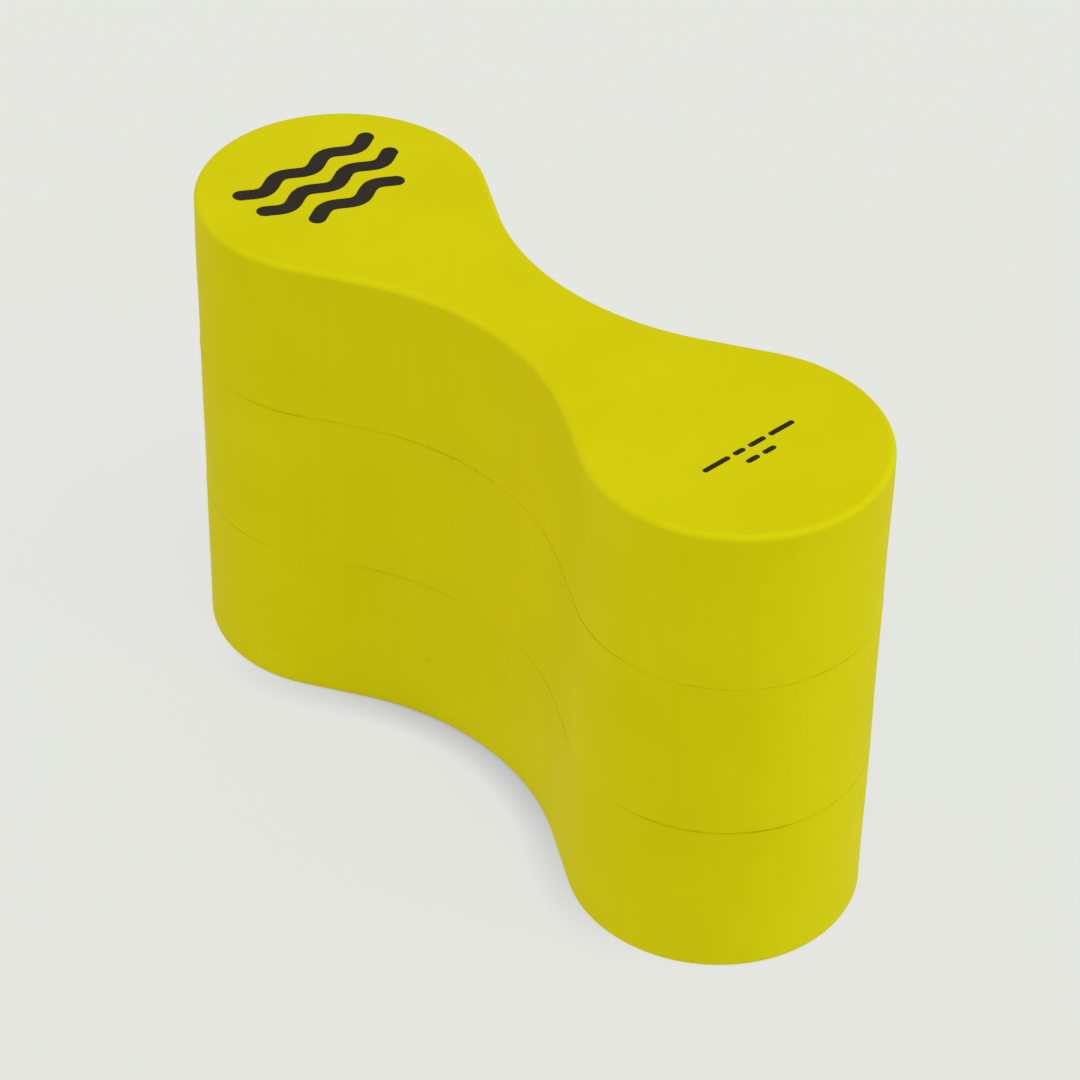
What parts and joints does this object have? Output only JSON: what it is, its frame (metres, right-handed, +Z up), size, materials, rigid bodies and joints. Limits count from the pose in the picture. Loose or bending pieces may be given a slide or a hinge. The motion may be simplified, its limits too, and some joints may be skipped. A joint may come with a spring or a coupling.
{
  "type": "pull buoy",
  "caption": "Hourglass-plan swimming pull buoy of laminated closed-cell foam, held between the thighs at its narrow waist, with a rounded rim and printed marks on its top face.",
  "frame": {"origin": "centre of the footprint, on the plane that the block stands on", "axes": "+X along the block's length, from lobe to lobe, towards the lobe with the small print; +Y across the lobes; +Z up, square to the glue joints, towards the printed face"},
  "size_m": [0.24, 0.0828, 0.1501],
  "materials": {
    "foam": "matte closed-cell EVA foam, neon yellow",
    "glue": "dried contact adhesive, dull yellow",
    "ink": "pad-printed black ink, matte"
  },
  "bodies": {
    "root": {"foam_layer_bottom": "foam", "foam_layer_middle": "foam", "foam_layer_top": "foam", "glue_film_lower": "glue", "glue_film_upper": "glue", "wave_stripe_upper": "ink", "wave_stripe_middle": "ink", "wave_stripe_lower": "ink", "origin_dash_1": "ink", "origin_dash_2": "ink", "origin_dash_3": "ink", "origin_dash_4": "ink", "date_dash_1": "ink", "date_dash_2": "ink"}
  },
  "joints": []
}
